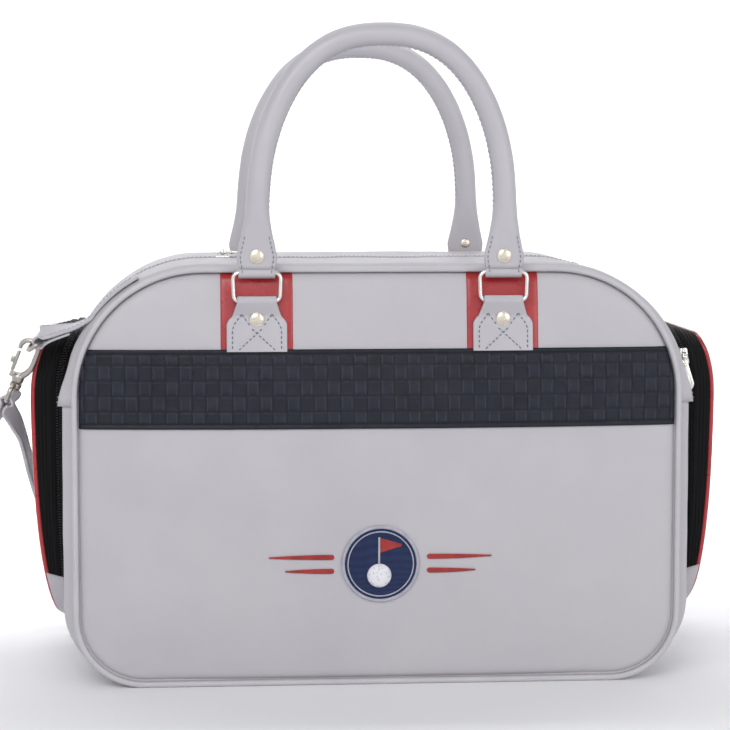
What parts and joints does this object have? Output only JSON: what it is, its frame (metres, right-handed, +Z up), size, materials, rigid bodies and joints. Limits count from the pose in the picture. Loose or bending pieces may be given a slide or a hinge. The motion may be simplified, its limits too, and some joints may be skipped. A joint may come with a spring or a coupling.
{
  "type": "golf shoe bag",
  "caption": "Boxy carrying bag with rolled leather handles on rings, a woven band, a zipped top, zipped end pockets and a clip-on shoulder strap.",
  "frame": {"origin": "middle of the underside, on the plane the bag rests on", "axes": "+X along the width towards the right end pocket as seen from the front, +Y towards the back, +Z up; the front faces -Y"},
  "size_m": [0.5403, 0.3096, 0.4854],
  "materials": {
    "white_leather": "smooth fine grained",
    "navy_weave": "basket woven strips, satin",
    "red_leather": "glossy",
    "black_tape": "ribbed zip tape",
    "lining": "plain woven",
    "board": "matt",
    "nickel": "polished nickel",
    "badge": "embroidered"
  },
  "bodies": {
    "bag": {"front_panel": "white_leather", "back_panel": "white_leather", "top_gusset_front": "white_leather", "top_gusset_back": "white_leather", "main_zip_chain": "black_tape", "body_gusset": "white_leather", "front_piping": "white_leather", "back_piping": "white_leather", "front_woven_band": "navy_weave", "back_woven_band": "navy_weave", "front_left_accent": "red_leather", "back_left_accent": "red_leather", "front_left_handle_tab": "white_leather", "back_left_handle_tab": "white_leather", "front_left_tab_rivet": "nickel", "back_left_tab_rivet": "nickel", "front_right_accent": "red_leather", "back_right_accent": "red_leather", "front_right_handle_tab": "white_leather", "back_right_handle_tab": "white_leather", "front_right_tab_rivet": "nickel", "back_right_tab_rivet": "nickel", "front_badge": "badge", "right_pocket_wall": "black_tape", "left_pocket_wall": "black_tape", "left_pocket_flap": "white_leather", "left_pocket_piping": "red_leather", "left_strap_tab": "white_leather", "right_strap_tab": "white_leather", "shoulder_strap": "white_leather", "strap_adjuster": "nickel", "lining": "lining", "base_board": "board"},
    "front_left_ring": {"front_left_ring": "nickel"},
    "front_right_ring": {"front_right_ring": "nickel"},
    "front_handle": {"front_handle": "white_leather", "front_left_handle_rivet": "nickel", "front_right_handle_rivet": "nickel"},
    "back_left_ring": {"back_left_ring": "nickel"},
    "back_right_ring": {"back_right_ring": "nickel"},
    "back_handle": {"back_handle": "white_leather", "back_left_handle_rivet": "nickel", "back_right_handle_rivet": "nickel"},
    "main_zip_slider": {"main_zip_slider": "nickel"},
    "main_zip_pull": {"main_zip_pull": "nickel"},
    "left_pocket_zip_slider": {"left_pocket_zip_slider": "nickel"},
    "left_pocket_zip_pull": {"left_pocket_zip_pull": "nickel"},
    "left_strap_ring": {"left_strap_ring": "nickel"},
    "left_hook_eye": {"left_hook_eye": "nickel"},
    "left_strap_hook": {"left_strap_hook": "nickel"},
    "left_hook_gate": {"left_hook_gate": "nickel"},
    "right_pocket_flap": {"right_pocket_flap": "white_leather", "right_pocket_piping": "red_leather"},
    "right_pocket_zip_slider": {"right_pocket_zip_slider": "nickel"},
    "right_pocket_zip_pull": {"right_pocket_zip_pull": "nickel"},
    "right_strap_ring": {"right_strap_ring": "nickel"},
    "right_hook_eye": {"right_hook_eye": "nickel"},
    "right_strap_hook": {"right_strap_hook": "nickel"},
    "right_hook_gate": {"right_hook_gate": "nickel"}
  },
  "joints": [
    {"name": "front_left_ring_hinge", "type": "hinge", "parent": "bag", "child": "front_left_ring", "pos_m": [-0.09, -0.12021, 0.285], "axis": [1, 0, 0], "range_deg": [-8, 80], "stiffness_Nm_per_rad": 0.6},
    {"name": "front_right_ring_hinge", "type": "hinge", "parent": "bag", "child": "front_right_ring", "pos_m": [0.09, -0.12021, 0.285], "axis": [1, 0, 0], "range_deg": [-8, 80]},
    {"name": "front_handle_hinge", "type": "hinge", "parent": "front_left_ring", "child": "front_handle", "pos_m": [-0.09, -0.12021, 0.306], "axis": [1, 0, 0], "range_deg": [-22, 90], "stiffness_Nm_per_rad": 0.5},
    {"name": "back_left_ring_hinge", "type": "hinge", "parent": "bag", "child": "back_left_ring", "pos_m": [-0.09, 0.12021, 0.285], "axis": [-1, 0, 0], "range_deg": [-8, 80], "stiffness_Nm_per_rad": 0.6},
    {"name": "back_right_ring_hinge", "type": "hinge", "parent": "bag", "child": "back_right_ring", "pos_m": [0.09, 0.12021, 0.285], "axis": [-1, 0, 0], "range_deg": [-8, 80]},
    {"name": "back_handle_hinge", "type": "hinge", "parent": "back_left_ring", "child": "back_handle", "pos_m": [-0.09, 0.12021, 0.306], "axis": [-1, 0, 0], "range_deg": [-22, 90], "stiffness_Nm_per_rad": 0.5},
    {"name": "main_zip_slide", "type": "slide", "parent": "bag", "child": "main_zip_slider", "axis": [1, 0, 0], "range_m": [0, 0.215]},
    {"name": "main_zip_pull_hinge", "type": "hinge", "parent": "main_zip_slider", "child": "main_zip_pull", "pos_m": [-0.112, 0, 0.3159], "axis": [0, -1, 0], "range_deg": [0, 150]},
    {"name": "right_pocket_flap_hinge", "type": "hinge", "parent": "bag", "child": "right_pocket_flap", "pos_m": [0.22823, 0, 0.0434], "axis": [0, 1, 0], "range_deg": [0, 55], "stiffness_Nm_per_rad": 0.05},
    {"name": "right_pocket_zip_slide", "type": "slide", "parent": "bag", "child": "right_pocket_zip_slider", "axis": [0.0232, 0, -0.9997], "range_m": [0, 0.1]},
    {"name": "right_pocket_zip_pull_hinge", "type": "hinge", "parent": "right_pocket_zip_slider", "child": "right_pocket_zip_pull", "pos_m": [0.2317, -0.0859, 0.24], "axis": [-0.9997, 0, -0.0232], "range_deg": [0, 120]},
    {"name": "left_pocket_zip_slide", "type": "slide", "parent": "bag", "child": "left_pocket_zip_slider", "axis": [-0.0232, 0, -0.9997], "range_m": [0, 0.1]},
    {"name": "left_pocket_zip_pull_hinge", "type": "hinge", "parent": "left_pocket_zip_slider", "child": "left_pocket_zip_pull", "pos_m": [-0.2317, 0.0859, 0.24], "axis": [0.9997, 0, -0.0232], "range_deg": [0, 120]},
    {"name": "left_strap_swing", "type": "hinge", "parent": "bag", "child": "left_hook_eye", "pos_m": [-0.246, -0.095, 0.259], "axis": [0.3416, 0.8239, 0.4522], "range_deg": [0, 25], "deforming": ["shoulder_strap"]},
    {"name": "left_strap_ring_hinge", "type": "hinge", "parent": "bag", "child": "left_strap_ring", "pos_m": [-0.246, -0.095, 0.259], "axis": [0.3416, 0.8239, 0.4522], "range_deg": [0, 25]},
    {"name": "left_hook_swivel", "type": "hinge", "parent": "left_hook_eye", "child": "left_strap_hook", "pos_m": [-0.25535, -0.08662, 0.2508], "axis": [-0.3604, 0.2002, -0.911], "range_deg": [-12, 12]},
    {"name": "left_gate_hinge", "type": "hinge", "parent": "left_strap_hook", "child": "left_hook_gate", "pos_m": [-0.26808, -0.08144, 0.23337], "axis": [0.2242, 0.9667, 0.1238], "range_deg": [0, 18], "stiffness_Nm_per_rad": 0.05},
    {"name": "right_strap_swing", "type": "hinge", "parent": "bag", "child": "right_hook_eye", "pos_m": [0.239, 0.0955, 0.232], "axis": [0, -1, 0], "range_deg": [0, 25]},
    {"name": "right_strap_ring_hinge", "type": "hinge", "parent": "bag", "child": "right_strap_ring", "pos_m": [0.239, 0.0955, 0.232], "axis": [0, -1, 0], "range_deg": [0, 25]},
    {"name": "right_hook_swivel", "type": "hinge", "parent": "right_hook_eye", "child": "right_strap_hook", "pos_m": [0.24577, 0.0955, 0.21861], "axis": [0.0995, 0, -0.995], "range_deg": [-12, 12]},
    {"name": "right_gate_hinge", "type": "hinge", "parent": "right_strap_hook", "child": "right_hook_gate", "pos_m": [0.25338, 0.0955, 0.19777], "axis": [0, -1, 0], "range_deg": [0, 18], "stiffness_Nm_per_rad": 0.05}
  ],
  "couplings": [
    {"joint": "front_right_ring_hinge", "follows": "front_left_ring_hinge", "ratio": 1},
    {"joint": "back_right_ring_hinge", "follows": "back_left_ring_hinge", "ratio": 1},
    {"joint": "right_pocket_zip_slide", "follows": "right_pocket_flap_hinge", "m_per_rad": 0.10209},
    {"joint": "left_strap_ring_hinge", "follows": "left_strap_swing", "ratio": 1},
    {"joint": "right_strap_ring_hinge", "follows": "right_strap_swing", "ratio": 1}
  ]
}
